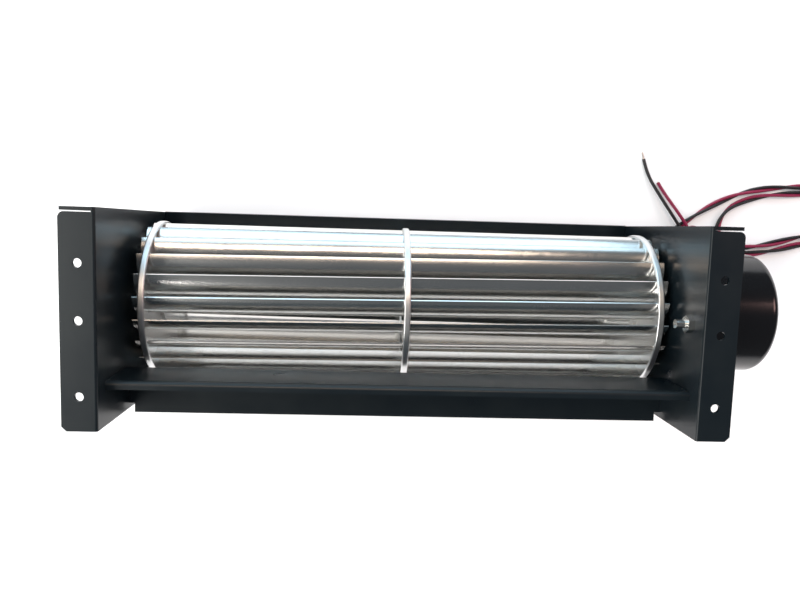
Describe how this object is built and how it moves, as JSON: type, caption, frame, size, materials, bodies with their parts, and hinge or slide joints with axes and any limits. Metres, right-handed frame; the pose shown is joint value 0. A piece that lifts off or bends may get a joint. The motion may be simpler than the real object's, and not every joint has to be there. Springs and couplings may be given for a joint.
{
  "type": "cross flow fan",
  "caption": "Cross flow fan with a long bladed metal impeller between two flanged end plates, an air guide, a tongue plate and an end-mounted motor with twisted leads.",
  "frame": {"origin": "middle of the part's box on the plane of the end plates' rear edges", "axes": "+X along the shaft towards the motor, +Y up the end plates away from the outlet, +Z out of the air inlet"},
  "size_m": [0.3192, 0.1047, 0.088],
  "materials": {
    "black_sheet": "gloss",
    "disc_aluminium": "satin",
    "blade_aluminium": "polished",
    "hub_aluminium": "satin",
    "shaft_steel": "satin",
    "core_steel": "satin",
    "magnet": "satin",
    "bronze": "satin",
    "black_rubber": "matte",
    "bracket_zinc": "gloss",
    "motor_black": "gloss",
    "board_green": "satin",
    "copper": "gloss",
    "zinc_screws": "bright",
    "lead_red": "satin",
    "lead_black": "satin"
  },
  "bodies": {
    "casing": {"left_end_plate": "black_sheet", "right_end_plate": "black_sheet", "rear_wall": "black_sheet", "tongue_plate": "black_sheet", "bearing_bush": "bronze", "bearing_mount": "black_rubber", "motor_bracket": "bracket_zinc", "motor_can": "motor_black", "front_bearing": "shaft_steel", "rear_bearing": "shaft_steel", "stator_core": "core_steel", "stator_rings": "board_green", "stator_windings": "copper", "circuit_board": "board_green", "lead_grommet": "black_rubber", "bracket_screws": "zinc_screws", "bracket_nuts": "zinc_screws", "motor_screws": "zinc_screws", "motor_lead": "lead_red", "lead_end_black": "lead_black", "lead_end_red": "lead_red"},
    "impeller": {"fan_disc_left": "disc_aluminium", "fan_disc_middle": "disc_aluminium", "fan_disc_right": "disc_aluminium", "blade_01": "blade_aluminium", "blade_02": "blade_aluminium", "blade_03": "blade_aluminium", "blade_04": "blade_aluminium", "blade_05": "blade_aluminium", "blade_06": "blade_aluminium", "blade_07": "blade_aluminium", "blade_08": "blade_aluminium", "blade_09": "blade_aluminium", "blade_10": "blade_aluminium", "blade_11": "blade_aluminium", "blade_12": "blade_aluminium", "blade_13": "blade_aluminium", "blade_14": "blade_aluminium", "blade_15": "blade_aluminium", "blade_16": "blade_aluminium", "blade_17": "blade_aluminium", "blade_18": "blade_aluminium", "blade_19": "blade_aluminium", "blade_20": "blade_aluminium", "blade_21": "blade_aluminium", "blade_22": "blade_aluminium", "hub_left": "hub_aluminium", "hub_right": "hub_aluminium", "stub_shaft": "shaft_steel", "motor_shaft": "shaft_steel", "rotor_core": "core_steel", "rotor_magnet": "magnet"}
  },
  "joints": [
    {"name": "impeller_spin", "type": "hinge", "parent": "casing", "child": "impeller", "pos_m": [0, 0.00328, 0.036], "axis": [1, 0, 0], "continuous": true}
  ]
}
